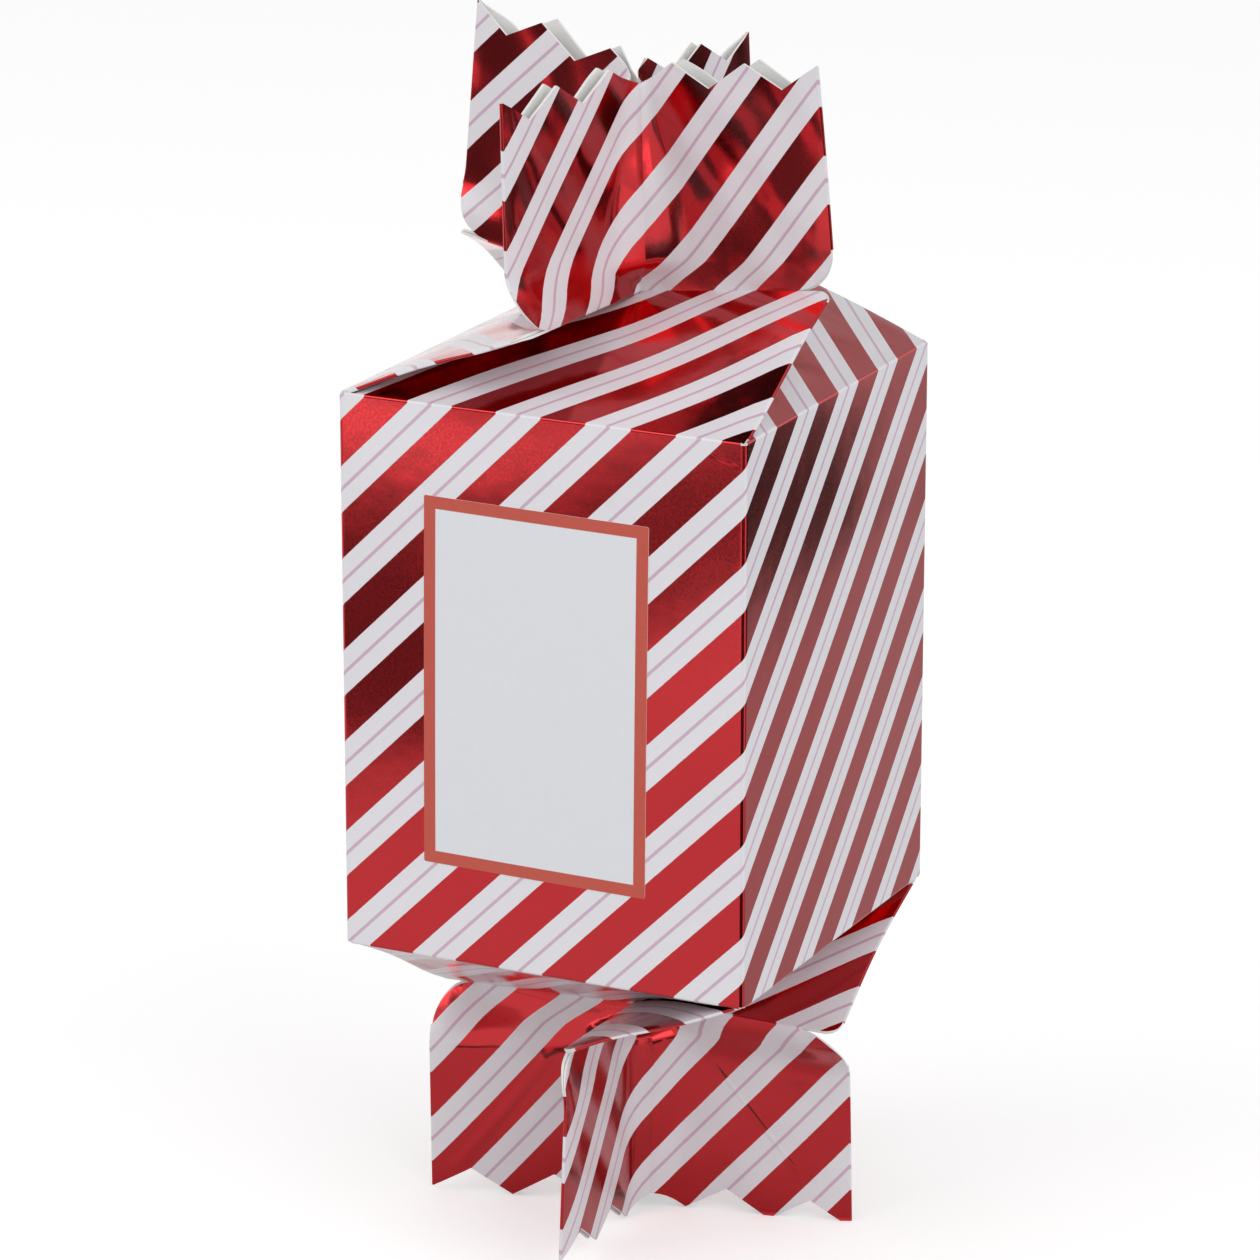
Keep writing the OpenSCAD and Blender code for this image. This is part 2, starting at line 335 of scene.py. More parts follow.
def filled(outline, step, lines=()):
    """Triangles that fill an outline, with points all over it."""
    edge = dense(outline, step * 0.62)
    a = np.array(edge)
    lo, hi = a.min(0), a.max(0)
    grid = []
    for row, y in enumerate(np.arange(lo[1] + step / 2, hi[1], step * 0.87)):
        for x in np.arange(lo[0] + step / 2 + (row % 2) * step / 2, hi[0], step):
            grid.append((x, y))
    grid = np.array(grid)
    grid = grid[inside(edge, grid)]
    grid = grid[distance_to(a, grid) > step * 0.45]
    if len(lines):
        fine = np.array(lines)
        fine = fine[inside(edge, fine)]
        fine = fine[distance_to(a, fine) > 0.2]
        grid = grid[distance_to(fine, grid) > 0.8]
        grid = np.vstack([fine, grid])
    pts = [Vector(p) for p in edge] + [Vector(p) for p in grid]
    verts, _, faces, old, _, _ = delaunay_2d_cdt(pts, [], [list(range(len(edge)))], 1, 1e-6)
    new_of = {}
    for i, group in enumerate(old):
        for o in group:
            new_of[o] = i
    loop = [new_of[i] for i in range(len(edge))]
    return np.array([tuple(v) for v in verts]), faces, loop


SHARP = math.radians(32)


class Shape:
    """Gathers closed shells of printed, bare and cut faces into one mesh."""

    def __init__(self):
        self.bm = bmesh.new()
        self.uv = self.bm.loops.layers.uv.new("sheet")

    def shell(self, points, sheet, faces):
        """One closed shell: points in mm, their places on the sheet, faces with materials."""
        verts = [self.bm.verts.new(Vector(p) * 0.001) for p in points]
        made = []
        for index, mat in faces:
            if len(set(index)) < 3:
                continue
            f = self.bm.faces.new([verts[i] for i in index])
            f.material_index = mat
            f.smooth = True
            for loop, i in zip(f.loops, index):
                loop[self.uv].uv = (sheet[i][0], sheet[i][1])
            made.append(f)
        bmesh.ops.recalc_face_normals(self.bm, faces=made)

    def slab(self, outline, step, place, printed, bare, sheet, lines=()):
        """A panel of card between the depths of its printed and its bare face."""
        flat, tris, loop = filled(outline, step, lines)
        x, v = flat.T
        n = len(flat)
        points = np.vstack([place(x, v, np.full(n, printed)), place(x, v, np.full(n, bare))])
        uv = np.column_stack(sheet(x, v))
        uv = np.vstack([uv, uv])
        faces = [(tuple(t), 0) for t in tris]
        faces += [(tuple(i + n for i in reversed(t)), 1) for t in tris]
        for i, a in enumerate(loop):
            b = loop[(i + 1) % len(loop)]
            faces.append(((a, b, b + n, a + n), 2))
        self.shell(points, uv, faces)

    def sector(self, along, profile, place, sheet):
        """A rounded strip along a crease: profile gives ring points for each step."""
        rings, uv = [], []
        for s in along:
            ring, at = profile(s), sheet(s)
            rings.append(ring)
            uv.append(at if isinstance(at, list) else [at] * len(ring))
        m = len(rings[0])
        flat = np.array([q for ring in rings for q in ring])
        points = place(flat)
        uv = [u for row in uv for u in row]
        faces = []
        for i in range(len(along) - 1):
            for q in range(m):
                a, b = i * m + q, i * m + (q + 1) % m
                faces.append(((a, b, b + m, a + m), 0 if q < m // 2 - 1 else 1))
        faces.append((tuple(range(m)), 2))
        faces.append((tuple((len(along) - 1) * m + q for q in reversed(range(m))), 2))
        self.shell(points, uv, faces)

    def piece(self, name, mats):
        """The finished object, its mesh smooth but for the sharp edges."""
        mesh = bpy.data.meshes.new(name)
        self.bm.to_mesh(mesh)
        self.bm.free()
        mesh.set_sharp_from_angle(angle=SHARP)
        for m in mats:
            mesh.materials.append(m)
        obj = bpy.data.objects.new(name, mesh)
        bpy.context.scene.collection.objects.link(obj)
        return obj


# ---------------------------------------------------------------- materials
def material(name):
    """An empty material with one principled shader."""
    m = bpy.data.materials.new(name)
    m.use_nodes = True
    t = m.node_tree
    t.nodes.clear()
    out = t.nodes.new("ShaderNodeOutputMaterial")
    bsdf = t.nodes.new("ShaderNodeBsdfPrincipled")
    t.links.new(bsdf.outputs[0], out.inputs[0])
    return m, t, bsdf


def put(t, socket, value):
    """Link an output to a socket, or set the socket's own value."""
    if isinstance(value, bpy.types.NodeSocket):
        t.links.new(value, socket)
    else:
        socket.default_value = value


def math_node(t, op, a, b=0.0, c=None):
    n = t.nodes.new("ShaderNodeMath")
    n.operation = op
    put(t, n.inputs[0], a)
    put(t, n.inputs[1], b)
    if c is not None:
        put(t, n.inputs[2], c)
    return n.outputs[0]


def ramp(t, value, a, b, lo=0.0, hi=1.0):
    """Smooth step from lo at a to hi at b."""
    n = t.nodes.new("ShaderNodeMapRange")
    n.interpolation_type = "SMOOTHSTEP"
    for i, v in enumerate((value, a, b, lo, hi)):
        put(t, n.inputs[i], v)
    return n.outputs[0]


def noise(t, vector, scale, detail=2.0, rough=0.5, seed=0.0):
    n = t.nodes.new("ShaderNodeTexNoise")
    n.noise_dimensions = "4D"
    put(t, n.inputs["Vector"], vector)
    n.inputs["W"].default_value = seed
    n.inputs["Scale"].default_value = scale
    n.inputs["Detail"].default_value = detail
    n.inputs["Roughness"].default_value = rough
    return n.outputs["Fac"]


def mix(t, fac, a, b):
    n = t.nodes.new("ShaderNodeMix")
    n.data_type = "RGBA"
    put(t, n.inputs["Factor"], fac)
    put(t, n.inputs[6], a)
    put(t, n.inputs[7], b)
    return n.outputs[2]


def blend_value(t, fac, a, b):
    n = t.nodes.new("ShaderNodeMix")
    put(t, n.inputs["Factor"], fac)
    put(t, n.inputs[2], a)
    put(t, n.inputs[3], b)
    return n.outputs[0]


def bump(t, bsdf, height, strength, distance):
    n = t.nodes.new("ShaderNodeBump")
    n.inputs["Strength"].default_value = strength
    n.inputs["Distance"].default_value = distance
    t.links.new(height, n.inputs["Height"])
    t.links.new(n.outputs[0], bsdf.inputs["Normal"])


def sheet_coords(t):
    """Place on the flat printed sheet in mm: the vector, u round the tube and b downward."""
    uv = t.nodes.new("ShaderNodeUVMap")
    uv.uv_map = "sheet"
    sep = t.nodes.new("ShaderNodeSeparateXYZ")
    t.links.new(uv.outputs[0], sep.inputs[0])
    return uv.outputs[0], sep.outputs[0], sep.outputs[1]


# One period of the stripes in mm: where the red starts and ends and the pink line lies
PERIOD, RED0, RED1, LINE_AT, SLANT = 13.98, 4.1, 11.1, 0.61, 0.98
SOFT = 0.07  # half the blur of a stripe's edge
# Creases pressed into the foil: two ends on the sheet, half width and height, all in mm
CREASES = (((104.0, 122.5), (122.5, 141.6), 0.55, 0.055),
           ((3.0, 145.5), (22.0, 124.5), 1.5, 0.16),
           ((58.6, 1.6), (64.2, 3.4), 0.5, 0.04))
CREASE_END = 3.0  # length over which a crease fades out


def crease(t, u, b, start, end, width, high):
    """Height of one straight crease between two points of the sheet."""
    (x0, y0), (x1, y1) = start, end
    length = math.dist(start, end)
    cx, cy = (x1 - x0) / length, (y1 - y0) / length
    along = math_node(t, "MULTIPLY_ADD", b, cy, -(x0 * cx + y0 * cy))
    along = math_node(t, "MULTIPLY_ADD", u, cx, along)
    off = math_node(t, "MULTIPLY_ADD", b, -cx, y0 * cx - x0 * cy)
    off = math_node(t, "MULTIPLY_ADD", u, cy, off)
    near = ramp(t, math_node(t, "ABSOLUTE", off), 0.0, width, high, 0.0)
    span = math_node(t, "MULTIPLY", ramp(t, along, 0.0, CREASE_END),
                     ramp(t, along, length - CREASE_END, length, 1.0, 0.0))
    return math_node(t, "MULTIPLY", near, span)


def printed_card():
    """Candy stripes of red foil and white ink, with a fine pink line in each white band."""
    m, t, bsdf = material("printed_card")
    vec, u, b = sheet_coords(t)
    drift = math_node(t, "MULTIPLY", math_node(t, "SUBTRACT", noise(t, vec, 0.9, 2.0), 0.5), 0.12)
    along = math_node(t, "ADD", math_node(t, "MULTIPLY_ADD", u, SLANT, b), drift)
    s = math_node(t, "FLOORED_MODULO", along, PERIOD)
    red = math_node(t, "MULTIPLY", ramp(t, s, RED0 - SOFT, RED0 + SOFT),
                    ramp(t, s, RED1 - SOFT, RED1 + SOFT, 1.0, 0.0))
    off = math_node(t, "ABSOLUTE", math_node(t, "SUBTRACT", s, LINE_AT))
    line = ramp(t, off, 0.24, 0.44, 1.0, 0.0)
    patch = noise(t, vec, 0.06, 3.0, 0.6, 3.0)
    white = mix(t, patch, (0.74, 0.725, 0.765, 1), (0.79, 0.775, 0.81, 1))
    ink = mix(t, line, white, (0.60, 0.42, 0.53, 1))
    foil = mix(t, patch, (0.48, 0.014, 0.019, 1), (0.54, 0.018, 0.024, 1))
    colour = mix(t, red, ink, foil)
    put(t, bsdf.inputs["Base Color"], colour)
    put(t, bsdf.inputs["Metallic"], red)
    grain = noise(t, vec, 2.2, 3.0, 0.6, 5.0)
    ink_rough, foil_rough = (ramp(t, grain, 0.3, 0.7, *r) for r in ((0.34, 0.46), (0.10, 0.17)))
    put(t, bsdf.inputs["Roughness"], blend_value(t, red, ink_rough, foil_rough))
    bsdf.inputs["Coat Weight"].default_value = 0.5
    bsdf.inputs["Coat Roughness"].default_value = 0.12
    # the foil's unevenness in mm: broad, middling and fine dents, and waves on the ends
    broad = noise(t, vec, 0.045, 1.0, 0.4, 1.0)
    mid = noise(t, vec, 0.22, 1.0, 0.4, 2.0)
    fine = noise(t, vec, 1.6, 3.0, 0.6, 4.0)
    away = math_node(t, "ABSOLUTE", math_node(t, "SUBTRACT", b, H / 2))
    ends = ramp(t, away, H / 2 + 1, H / 2 + 6)
    roof = math_node(t, "MULTIPLY", ends, ramp(t, away, H / 2 + 28, H / 2 + 34, 1.0, 0.0))
    dents = [math_node(t, "MULTIPLY", broad, blend_value(t, ends, 0.12, 0.28)),
             math_node(t, "MULTIPLY", mid, blend_value(t, roof, 0.03, 0.11)),
             math_node(t, "MULTIPLY", fine, 0.0022)]
    height = math_node(t, "ADD", dents[0], math_node(t, "ADD", *dents[1:]))
    across = math_node(t, "MULTIPLY_ADD", u, 0.8, math_node(t, "MULTIPLY", b, -0.6))
    swing = math_node(t, "MULTIPLY", noise(t, vec, 0.05, 1.0, 0.5, 8.0), 9.0)
    wave = math_node(t, "SINE", math_node(t, "MULTIPLY_ADD", across, 0.55, swing))
    deep = blend_value(t, ends, 0.0, ramp(t, b, -36.0, -30.0, 0.115, 0.055))
    height = math_node(t, "ADD", height, math_node(t, "MULTIPLY", wave, deep))
    for mark in CREASES:
        height = math_node(t, "ADD", height, crease(t, u, b, *mark))
    bump(t, bsdf, height, 1.0, 0.001)
    return m


def bare_card(name="bare_card", cut=False):
    """The fibres of the unprinted inside, or of a cut edge."""
    m, t, bsdf = material(name)
    vec = sheet_coords(t)[0]
    fibre = noise(t, vec, 3.5, 4.0, 0.65, 2.0)
    cloud = noise(t, vec, 0.12, 2.0, 0.5, 7.0)
    tone = mix(t, cloud, (0.74, 0.735, 0.72, 1), (0.82, 0.815, 0.80, 1))
    pale = (0.86, 0.855, 0.84, 1)
    put(t, bsdf.inputs["Base Color"], mix(t, ramp(t, fibre, 0.3, 0.75), tone, pale))
    put(t, bsdf.inputs["Roughness"], ramp(t, fibre, 0.2, 0.8, 0.72, 0.9))
    bump(t, bsdf, fibre, 0.6 if cut else 0.35, 0.00006)
    return m


PRINTED = printed_card()
BARE = bare_card()
CUT = bare_card("cut_edge", cut=True)
CARD = (PRINTED, BARE, CUT)


# ----------------------------------------------------------------- the ends
PIVOT = 0.02      # radius left at the inside of a rounded crease
ROUND = 0.43      # length of the print round a sharp fold
HALF_TURN = [math.radians(a) for a in np.linspace(-90, 90, 9)]


def crease_ring(x, cy, cz, steps, way=1):
    """Section of a rounded crease along x: the card's outside, then its inside."""
    outer = [(x, cy + way * T * math.cos(a), cz + T * math.sin(a)) for a in steps]
    inner = [(x, cy + way * PIVOT * math.cos(a), cz + PIVOT * math.sin(a))
             for a in reversed(steps)]
    return outer + inner


def neck_steps(e):
    return [math.radians(a) for a in np.linspace(-90 + math.degrees(PHI[e]), 0, 6)]


def hidden_strip(e, j):
    """Outline of the card that the turned neck hides along the foot of an arm."""
    xs = np.linspace(ARM + 0.3, CORNER - FRILL_R, 14)
    wide = np.maximum(0.2, shortfall(e, j, xs)) / SIN[e]
    outline = [(float(x), 0.0) for x in xs]
    return outline + [(float(x), float(q)) for x, q in zip(xs[::-1], wide[::-1])]


def roof_piece(e, k):
    name = f"{ENDS[e]}_{SIDES[k]}_roof"
    j = turn(e, k)
    s = Shape()
    place, sheet = roof_map(e, j), sheet_roof(e, k, False)
    # the slanted edge is extended to the crossing line, its last strip bent under the gusset
    low, high = TUCK[e] - valley(e, 0), TUCK[e] - valley(e, FOLD[e])
    flat, lift = COS[e] ** 2, math.sin(math.acos(COS[e] ** 2))
    strip = TUCK[e] - 0.15

    def bent(x, v, w):
        t = np.clip((COS[e] * v - (x - low)) / SHARE[e], 0, None)
        x = x + t * (1 - flat) / SHARE[e]
        return place(x, v - t * (1 - flat) * COS[e] / SHARE[e], w - t * lift)

    outline = [(low - strip, 0.0), (CORNER, 0.0)]
    outline += arc(CORNER - ROOF_R, FOLD[e] - ROOF_R, ROOF_R, 0, 90)
    outline += [(high - strip, FOLD[e])]
    s.slab(outline, 1.7, bent, T, 0.0, sheet)
    # rounded crease to the sleeve
    xs = list(np.linspace(-W / 2 + EDGE_R, CORNER - 0.4, 30))
    steps = [math.radians(a) for a in np.linspace(0, 90 - math.degrees(PHI[e]), 7)]
    s.sector(xs, lambda x: crease_ring(x, -INNER, 0.0, steps, -1),
             lambda p: finish_point(e, j, p), lambda x: sheet(x, 0.0))
    obj = s.piece(name + "_card", CARD)
    return obj, name, j, (0.0, -SIN[e], COS[e]), (0.0, -INNER - T * SIN[e], T * COS[e])


def round_print(e, corner, way, slip=0.0):
    """The print runs on round a fold from the piece at one side to that at the other."""
    u, b = float(corner[0]), float(corner[1])
    back = -1 if e == 1 else 1
    share = [i / 8 if way < 0 else 1 - i / 8 for i in range(9)]
    row = [(u + back * ROUND * q, b - back * slip * q) for q in share]
    return row + row[::-1]


def gusset_piece(e, k):
    name = f"{ENDS[e]}_{SIDES[k]}_gusset"
    j = turn(e, k) - 1
    s = Shape()
    place, sheet = roof_map(e, j), sheet_roof(e, k, True)
    high = FOLD[e] + SHIFT[e]
    edge = valley(e, 0) - 0.1
    bend = (edge - ARM) / COS[e]
    outline = [(edge, 0.0)] + arc(CORNER - CREASE_R, CREASE_R, CREASE_R, -90, 0, 4)
    outline += arc(CORNER - ROOF_R, high - ROOF_R, ROOF_R, 0, 90) + [(ARM, high), (ARM, bend)]
    s.slab(outline, 1.7, place, -G - T, -G, sheet)
    # card beyond the neck crease, folded up between the layers of the arm, that shows when open
    foot = RISE[e] - DROP[e]

    def stand(x, q, y):
        d = parted(e, j, x, q, 1) * 0.5
        return finish_point(e, j, np.column_stack([x, y + d, foot + q]))

    s.slab(hidden_strip(e, j), 1.6, stand, G / 2, G / 4,
           lambda x, q: sheet(x, high + q * SIN[e]))
    # rounded corner crease shared with the roof above
    vs = list(np.linspace(CREASE_R, FOLD[e] - ROOF_R, 26))

    def ring(v):
        out = [(CORNER + r * math.cos(a), -G / 2 + r * math.sin(a))
               for r, steps in ((TIGHT, HALF_TURN), (G / 2, HALF_TURN[::-1])) for a in steps]
        return [(x, -INNER + v * COS[e] - w * SIN[e], v * SIN[e] + w * COS[e]) for x, w in out]

    s.sector(vs, ring, lambda p: finish_point(e, j, p),
             lambda v: round_print(e, sheet(CORNER, v), -1))
    obj = s.piece(name + "_card", CARD)
    anchor = (0.0, -INNER + (G + T) * SIN[e], -(G + T) * COS[e])
    return obj, name, j, (0.0, SIN[e], -COS[e]), anchor


def zigzag(e, h):
    """Die-cut edge of half a side of the frill, seen with the axis at the left."""
    xs = sorted({ARM, CORNER, *[i * W / TEETH / 2 for i in range(TEETH + 1)]})
    return [(x, h - float(notch(np.array(x)))) for x in xs if ARM <= x <= CORNER]


def frill_piece(e, k):
    name = f"{ENDS[e]}_{SIDES[k]}_frill"
    j = turn(e, k)
    s = Shape()
    place, sheet = frill_map(e, j), sheet_frill(e, k, False)
    # card under the roof's edge, between roof and gusset, that shows when the end is open
    def lie(x, q, w):
        p = np.column_stack([x, -INNER + (FOLD[e] - q) * COS[e] - w * SIN[e],
                             (FOLD[e] - q) * SIN[e] + w * COS[e]])
        return finish_point(e, j, p)

    s.slab(hidden_strip(e, j), 1.6, lie, -G * 0.3, -G * 0.7,
           lambda x, q: sheet(x, -q * SIN[e]))
    outline = [(ARM, 0.0)] + arc(CORNER - FRILL_R, FRILL_R, FRILL_R, -90, 0)
    outline += list(reversed(zigzag(e, FRILL[e])))
    s.slab(outline, 1.4, place, -ARM, -G / 2, sheet, valley_lines(e, 0, FRILL[e]))
    # inside of the neck crease
    xs = list(np.linspace(ARM, CORNER - FRILL_R, 18))
    s.sector(xs, lambda x: crease_ring(x, -ARM, RISE[e], neck_steps(e)),
             lambda p: finish_point(e, j, p), lambda x: sheet(x, 0.0))
    obj = s.piece(name + "_card", CARD)
    return obj, name, j, (0.0, -1.0, 0.0), (0.0, -ARM, 0.0)


def wing_piece(e, k):
    name = f"{ENDS[e]}_{SIDES[k]}_wing"
    j = turn(e, k) - 1
    s = Shape()
    place, sheet = wing_map(e, j), sheet_frill(e, k, True)
    high = FRILL[e] + DROP[e]
    outline = [(ARM, 0.0)] + arc(CORNER - FRILL_R, FRILL_R, FRILL_R, -90, 0)
    outline += list(reversed(zigzag(e, high)))
    s.slab(outline, 1.4, place, ARM, G / 2, sheet, valley_lines(e, DROP[e], high))
    # printed outside of the neck crease
    xs = list(np.linspace(ARM, CORNER - FRILL_R, 18))
    s.sector(xs, lambda x: crease_ring(x, G / 2, RISE[e] - DROP[e], neck_steps(e)),
             lambda p: finish_point(e, j, p), lambda x: sheet(x, 0.0))
    # crease at the end of the arm, shared with the frill in front
    hs = list(np.linspace(FRILL_R + 0.2, FRILL[e] - 0.3, 24))

    def tip(h):
        return [(CORNER + r * math.cos(a), r * math.sin(a), RISE[e] + h)
                for r, steps in ((TIGHT, HALF_TURN), (G / 2, HALF_TURN[::-1])) for a in steps]

    def tip_print(h):
        at = [q[0] for q in sheet(np.array([CORNER]), np.array([h + DROP[e]]))]
        return round_print(e, at, 1, (SHIFT[e] + DROP[e]) * FRILL_PRINT[e])

    s.sector(hs, tip, lambda p: finish_point(e, j, p), tip_print)
    obj = s.piece(name + "_card", CARD)
    return obj, name, j, (0.0, 1.0, 0.0), (0.0, ARM, 0.0)


JOINTS = {j["name"] for j in frame["joints"]}
JOINT = {"gusset": "gusset_fold", "frill": "frill_fold", "wing": "wing_fold", "roof": "roof_fold"}
for e in (0, 1):
    for k in range(4):
        for kind, build in (("roof", roof_piece), ("gusset", gusset_piece),
                            ("frill", frill_piece), ("wing", wing_piece)):
            obj, node, j, normal, anchor = build(e, k)
            axis = rotated(np.array([normal]), j)[0]
            if e == 0:
                axis = np.array([-axis[0], axis[1], -axis[2]])
            point = on_end(e, rotated(np.array([anchor]), j))[0] * 0.001
            joint = f"{ENDS[e]}_{SIDES[k]}_{JOINT[kind]}"
            if joint not in JOINTS:  # the hinge of the front roof drives its whole end
                joint = f"open_{ENDS[e]}_end"
            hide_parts(node)
            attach(obj, node)
            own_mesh(obj)


# --------------------------------------------------------------- the sleeve
SWELL = (0.35, 0.3, 0.3, 0.3)  # mm that each side swells in its middle


def bow(u, z):
    """The sides of the sleeve swell very slightly, each in its own way."""
    k = np.floor(u / W)
    x = (u - k * W) / W
    swell = np.choose((k.astype(int)) % 4, SWELL)
    return swell * (4 * x * (1 - x)) ** 1.5 * np.sin(np.pi * np.clip(z / H, 0, 1)) ** 0.8


def sleeve_point(u, z, depth):
    """u runs round the tube from the back left crease; depth is measured into the card."""
    k = np.floor(u / W).astype(int)
    x = u - k * W - W / 2
    flat = W / 2 - EDGE_R
    px = np.clip(x, -flat, flat)
    past = x - px
    a = past / EDGE_R * (math.pi / 4)
    r = EDGE_R - depth
    qx = px + r * np.sin(a)
    qy = -flat - r * np.cos(a) - bow(u, z) * (np.abs(past) < 1e-9)
    p = np.zeros((len(u), 3))
    for i in range(4):
        m = (k % 4) == i
        p[m] = rotated(np.column_stack([qx[m], qy[m], z[m] + FOOT]), i)
    return p


def sleeve():
    """The four panels as one closed tube of card."""
    s = Shape()
    stops = []
    for k in range(-1, 3):
        base = k * W
        stops += list(base + np.linspace(0, EDGE_R, 5)[:-1])
        stops += list(base + np.r_[EDGE_R, np.linspace(EDGE_R + 0.3, W - EDGE_R - 0.3, 32)])
        stops += list(base + np.linspace(W - EDGE_R, W, 5)[:-1])
    stops = np.array(stops)
    zs = np.linspace(0, H, 43)
    n, m = len(stops), len(zs)
    uu, zz = np.meshgrid(stops, zs, indexing="ij")
    uu, zz = uu.ravel(), zz.ravel()
    outer = sleeve_point(uu, zz, 0.0)
    inner = sleeve_point(uu, zz, T)
    uv = np.column_stack([uu, H - zz])
    points = np.vstack([outer, inner])
    faces = []
    count = n * m
    for i in range(n):
        i2 = (i + 1) % n
        for q in range(m - 1):
            a, b, c, d = i * m + q, i2 * m + q, i2 * m + q + 1, i * m + q + 1
            faces.append(((a, b, c, d), 0))
            faces.append(((a + count, d + count, c + count, b + count), 1))
        faces.append(((i * m, i * m + count, i2 * m + count, i2 * m), 2))
        t0, t1 = i * m + m - 1, i2 * m + m - 1
        faces.append(((t0, t1, t1 + count, t0 + count), 2))
    verts = [s.bm.verts.new(Vector(p) * 0.001) for p in points]
    for index, mat in faces:
        f = s.bm.faces.new([verts[i] for i in index])
        f.material_index = mat
        f.smooth = True
        last = any(i % count // m == n - 1 for i in index)
        for loop, i in zip(f.loops, index):
            u, b = uv[i % count]
            if last and i % count < m:  # the last column closes the tube
                u = 3 * W
            loop[s.uv].uv = (u, b)
    bmesh.ops.recalc_face_normals(s.bm, faces=s.bm.faces)
    obj = s.piece("sleeve_card", CARD)
    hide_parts(*[f"{side}_panel" for side in SIDES])
    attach(obj, "sleeve")


sleeve()


# ---------------------------------------------------------------- the label
LABEL_W, LABEL_H, LABEL_THICK, LABEL_R = 36.0, 56.0, 0.1, 0.3
LABEL_AT = 13.7, 14.5  # its lower left corner on the front panel
LABEL_TURN = math.radians(0.6)


def label_material():
    """Pale blank paper with a coral border."""
    m, t, bsdf = material("label_paper")
    vec, u, b = sheet_coords(t)
    edge = math_node(t, "MINIMUM",
                     math_node(t, "MINIMUM", u, math_node(t, "SUBTRACT", LABEL_W, u)),
                     math_node(t, "MINIMUM", b, math_node(t, "SUBTRACT", LABEL_H, b)))
    border = ramp(t, edge, 1.82, 1.94, 1.0, 0.0)
    fibre = noise(t, vec, 1.4, 4.0, 0.6, 1.0)
    blank = mix(t, fibre, (0.72, 0.735, 0.775, 1), (0.76, 0.775, 0.81, 1))
    coral = mix(t, fibre, (0.50, 0.075, 0.05, 1), (0.56, 0.09, 0.06, 1))
    put(t, bsdf.inputs["Base Color"], mix(t, border, blank, coral))
    put(t, bsdf.inputs["Roughness"], ramp(t, fibre, 0.3, 0.7, 0.5, 0.62))
    bump(t, bsdf, fibre, 0.3, 0.00004)
    return m


def gift_label():
    s = Shape()
    w, h, r = LABEL_W, LABEL_H, LABEL_R
    outline = []
    for cx, cy, a in ((w - r, r, -90), (w - r, h - r, 0), (r, h - r, 90), (r, r, 180)):
        outline += arc(cx, cy, r, a, a + 90, 3)

    def place(x, y, d):
        x, y = x - w / 2, y - h / 2
        x, y = x + y * LABEL_TURN + w / 2, y - x * LABEL_TURN + h / 2
        on_sleeve = sleeve_point(x + LABEL_AT[0], y + LABEL_AT[1], 0.0)
        return on_sleeve + np.column_stack([0 * x, -d, 0 * x])

    s.slab(outline, 2.0, place, LABEL_THICK, 0.0, lambda x, y: (x, y))
    obj = s.piece("gift_label_paper", (label_material(), BARE, CUT))
    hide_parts("gift_label")
    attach(obj, "sleeve")


gift_label()


# ------------------------------------------------------------- the contents
def object_coords(t):
    n = t.nodes.new("ShaderNodeTexCoord")
    return n.outputs["Object"]


def plain(name, low, high):
    """Unprinted card or paper, mottled between two colours."""
    m, t, bsdf = material(name)
    f = noise(t, object_coords(t), 900.0, 4.0, 0.6, 1.0)
    put(t, bsdf.inputs["Base Color"], mix(t, f, (*low, 1), (*high, 1)))
    put(t, bsdf.inputs["Roughness"], ramp(t, f, 0.2, 0.8, 0.6, 0.8))
    bump(t, bsdf, f, 0.5, 0.00005)
    return m


def dress(node, mat):
    """Give a CAD solid its material."""
    o = frame["nodes"][node]
    if not o.data.materials:
        o.data.materials.append(mat)
    for i in range(len(o.data.materials)):
        o.data.materials[i] = mat


dress("seam_flap", plain("seam_card", (0.74, 0.735, 0.72), (0.84, 0.835, 0.82)))
dress("snap_strip_upper", plain("snap_card", (0.42, 0.30, 0.18), (0.55, 0.41, 0.26)))
dress("snap_strip_lower", plain("snap_card_lower", (0.40, 0.29, 0.18), (0.53, 0.40, 0.25)))
dress("snap_band", plain("snap_paper", (0.60, 0.10, 0.03), (0.72, 0.14, 0.05)))


def stretched(t, vector, scale):
    n = t.nodes.new("ShaderNodeVectorMath")
    n.operation = "MULTIPLY"
    put(t, n.inputs[0], vector)
    n.inputs[1].default_value = scale
    return n.outputs[0]


def painted_wood():
    """Green lacquer with two cream rings, and the fine rounds that the lathe leaves."""
    m, t, bsdf = material("painted_wood")
    vec = object_coords(t)
    sep = t.nodes.new("ShaderNodeSeparateXYZ")
    t.links.new(vec, sep.inputs[0])
    squares = [math_node(t, "MULTIPLY", o, o) for o in sep.outputs[:2]]
    radius = math_node(t, "SQRT", math_node(t, "ADD", *squares))
    wobble = noise(t, vec, 500.0, 2.0, 0.5, 3.0)
    r = math_node(t, "MULTIPLY_ADD", wobble, 0.0003, radius)
    rings = []
    for at, half in ((0.0075, 0.0007), (0.0095, 0.0003)):
        off = math_node(t, "ABSOLUTE", math_node(t, "SUBTRACT", r, at))
        rings.append(ramp(t, off, half, half + 0.00012, 1.0, 0.0))
    cloud = noise(t, vec, 160.0, 3.0, 0.6, 1.0)
    green = mix(t, cloud, (0.012, 0.13, 0.05, 1), (0.03, 0.21, 0.085, 1))
    cream = mix(t, cloud, (0.74, 0.66, 0.48, 1), (0.84, 0.78, 0.62, 1))
    put(t, bsdf.inputs["Base Color"], mix(t, math_node(t, "MAXIMUM", *rings), green, cream))
    put(t, bsdf.inputs["Roughness"], ramp(t, cloud, 0.3, 0.7, 0.2, 0.36))
    turned = math_node(t, "SINE", math_node(t, "MULTIPLY", r, 14000.0))
    bump(t, bsdf, math_node(t, "MULTIPLY_ADD", turned, 0.2, cloud), 0.4, 0.00005)
    return m


